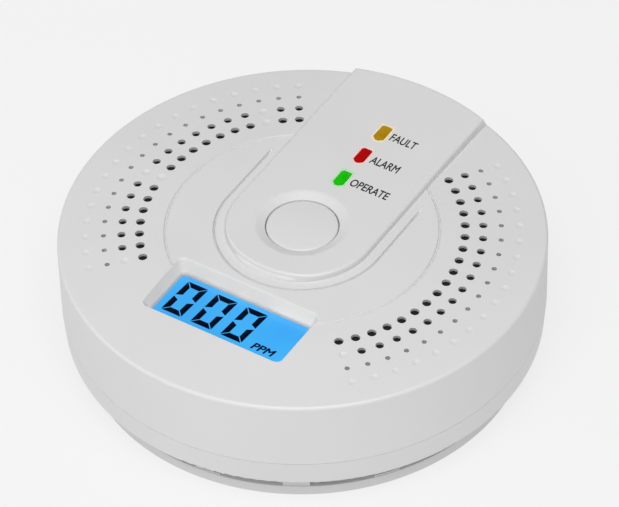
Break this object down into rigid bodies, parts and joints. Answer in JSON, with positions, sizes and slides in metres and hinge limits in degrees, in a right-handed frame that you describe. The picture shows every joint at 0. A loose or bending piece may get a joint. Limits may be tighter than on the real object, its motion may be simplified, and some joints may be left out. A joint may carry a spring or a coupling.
{
  "type": "carbon monoxide detector",
  "caption": "Round battery carbon monoxide detector with display, test button, status lamps and sounder on a twist-lock wall plate.",
  "frame": {"origin": "centre of the mounting plate's back face, which lies on the wall or stands on a table", "axes": "+Z out of the wall through the face, +Y up the wall along the raised strip and away from the display, +X to the right"},
  "size_m": [0.1, 0.1, 0.0313],
  "materials": {
    "white_plastic": "fine satin moulded ABS",
    "plate_plastic": "fine satin moulded ABS",
    "button_plastic": "fine satin moulded ABS",
    "amber_lens": "tinted translucent acrylic",
    "red_lens": "tinted translucent acrylic",
    "green_lens": "tinted translucent acrylic",
    "display_glass": "backlit liquid crystal glass",
    "gasket_rubber": "matt silicone",
    "diffuser": "opal acrylic",
    "tinned_metal": "tinned",
    "filter_cloth": "non-woven filter cloth",
    "board_laminate": "solder-masked glass fibre laminate",
    "cap_plastic": "moulded",
    "black_plastic": "moulded",
    "sounder_brass": "rolled",
    "led_resin": "clear resin",
    "capacitor_can": "drawn can",
    "battery_jacket": "plain printed jacket",
    "wire_red": "insulated wire",
    "wire_black": "insulated wire",
    "screw_steel": "zinc plated"
  },
  "bodies": {
    "plate": {"mounting_plate": "plate_plastic"},
    "detector": {"rear_shell": "white_plastic", "front_cover": "white_plastic", "light_pipe_fault": "amber_lens", "light_pipe_alarm": "red_lens", "light_pipe_operate": "green_lens", "display_glass": "display_glass", "display_gasket": "gasket_rubber", "display_backlight": "diffuser", "display_pins_upper": "tinned_metal", "display_pins_lower": "tinned_metal", "dust_filter_left": "filter_cloth", "dust_filter_right": "filter_cloth", "circuit_board": "board_laminate", "sensor_can": "tinned_metal", "sensor_cap": "cap_plastic", "sensor_lead_1": "tinned_metal", "sensor_lead_2": "tinned_metal", "sensor_lead_3": "tinned_metal", "sounder_housing": "black_plastic", "sounder_disc": "sounder_brass", "sounder_lead_1": "tinned_metal", "sounder_lead_2": "tinned_metal", "switch_body": "black_plastic", "led_fault": "led_resin", "led_alarm": "led_resin", "led_operate": "led_resin", "controller_chip": "black_plastic", "amplifier_chip": "black_plastic", "regulator_chip": "black_plastic", "capacitor_1": "capacitor_can", "capacitor_2": "capacitor_can", "sounder_coil": "black_plastic", "battery_1": "battery_jacket", "battery_2": "battery_jacket", "battery_3": "battery_jacket", "battery_spring_1": "tinned_metal", "battery_spring_2": "tinned_metal", "battery_spring_3": "tinned_metal", "contact_plus": "tinned_metal", "contact_minus": "tinned_metal", "contact_link_rear": "tinned_metal", "contact_link_front": "tinned_metal", "battery_lead_plus": "wire_red", "battery_lead_minus": "wire_black", "case_screw_1": "screw_steel", "case_screw_2": "screw_steel", "case_screw_3": "screw_steel", "case_screw_4": "screw_steel", "board_screw_1": "screw_steel", "board_screw_2": "screw_steel", "board_screw_3": "screw_steel"},
    "button": {"test_button": "button_plastic"},
    "plunger": {"switch_plunger": "black_plastic"}
  },
  "joints": [
    {"name": "twist_lock", "type": "hinge", "parent": "plate", "child": "detector", "pos_m": [0, 0, 0], "axis": [0, 0, 1], "range_deg": [0, 15]},
    {"name": "button_press", "type": "slide", "parent": "detector", "child": "button", "axis": [0, 0, -1], "range_m": [0, 0.0005], "stiffness_N_per_m": 2000, "springref_m": -0.0003},
    {"name": "plunger_press", "type": "slide", "parent": "detector", "child": "plunger", "axis": [0, 0, -1], "range_m": [0, 0.0005]}
  ],
  "couplings": [
    {"joint": "plunger_press", "follows": "button_press", "ratio": 1}
  ]
}
